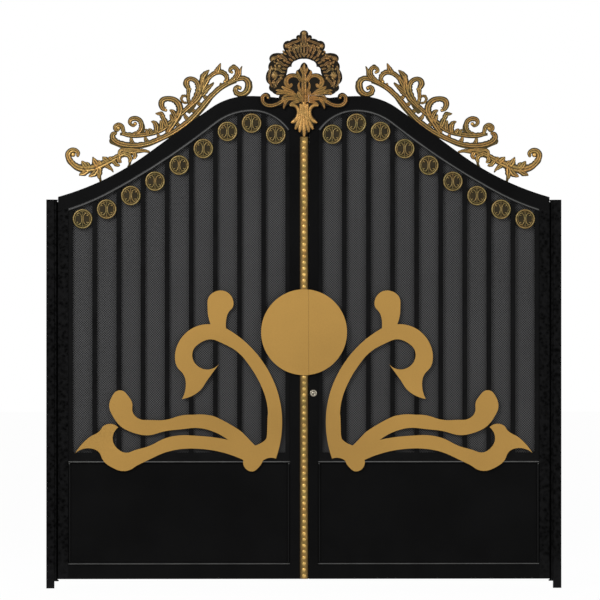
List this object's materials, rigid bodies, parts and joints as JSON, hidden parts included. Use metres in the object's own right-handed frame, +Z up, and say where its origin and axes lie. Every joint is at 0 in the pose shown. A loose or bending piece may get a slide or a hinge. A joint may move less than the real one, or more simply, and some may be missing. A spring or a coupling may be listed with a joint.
{
  "type": "double driveway gate",
  "caption": "Double-leaf wrought iron driveway gate with swan-neck top rails, mesh behind upright bars, gold scroll plates, rondels, cast crest and centre disc, hung between slim posts.",
  "frame": {"origin": "centre of the left post's foot face, on the ground", "axes": "+X along the gate towards the right post, +Y inwards, the way the leaves open, +Z up"},
  "size_m": [3, 0.072, 3.248],
  "materials": {
    "black_paint": "satin black paint",
    "post_paint": "hammered black paint",
    "mesh_grey": "dark grey mesh",
    "sheet_gold": "satin gold paint on cut plate",
    "strip_gold": "bright gold strip",
    "cast_gold": "antique gold casting with dark recesses",
    "lock_steel": "brushed steel"
  },
  "bodies": {
    "posts": {"left_post": "post_paint", "right_post": "post_paint", "left_pivots": "black_paint", "right_pivots": "black_paint"},
    "left_leaf": {"left_heel_tube": "black_paint", "left_hinge_stile": "black_paint", "left_meeting_stile": "black_paint", "left_top_rail": "black_paint", "left_mid_rail": "black_paint", "left_bottom_rail": "black_paint", "left_bars": "black_paint", "left_infill_sheet": "mesh_grey", "left_kick_panel": "black_paint", "left_panel_bead": "black_paint", "left_top_bead": "black_paint", "left_rondels": "cast_gold", "left_scroll_plate": "sheet_gold", "left_upper_spray": "cast_gold", "left_lower_sprig": "cast_gold", "meeting_bar": "black_paint", "bead_strip": "strip_gold", "left_disc": "sheet_gold", "left_crest": "cast_gold", "crest_wreath": "cast_gold"},
    "right_leaf": {"right_heel_tube": "black_paint", "right_hinge_stile": "black_paint", "right_meeting_stile": "black_paint", "right_top_rail": "black_paint", "right_mid_rail": "black_paint", "right_bottom_rail": "black_paint", "right_bars": "black_paint", "right_infill_sheet": "mesh_grey", "right_kick_panel": "black_paint", "right_panel_bead": "black_paint", "right_top_bead": "black_paint", "right_rondels": "cast_gold", "right_scroll_plate": "sheet_gold", "right_upper_spray": "cast_gold", "right_lower_sprig": "cast_gold", "meeting_lip": "black_paint", "right_disc": "sheet_gold", "right_crest": "cast_gold", "lock_rose": "lock_steel"}
  },
  "joints": [
    {"name": "left_leaf_swing", "type": "hinge", "parent": "posts", "child": "left_leaf", "pos_m": [0.0355, 0.022, 0.053], "axis": [0, 0, 1], "range_deg": [0, 90]},
    {"name": "right_leaf_swing", "type": "hinge", "parent": "posts", "child": "right_leaf", "pos_m": [2.9175, 0.022, 0.053], "axis": [0, 0, -1], "range_deg": [0, 90]}
  ]
}
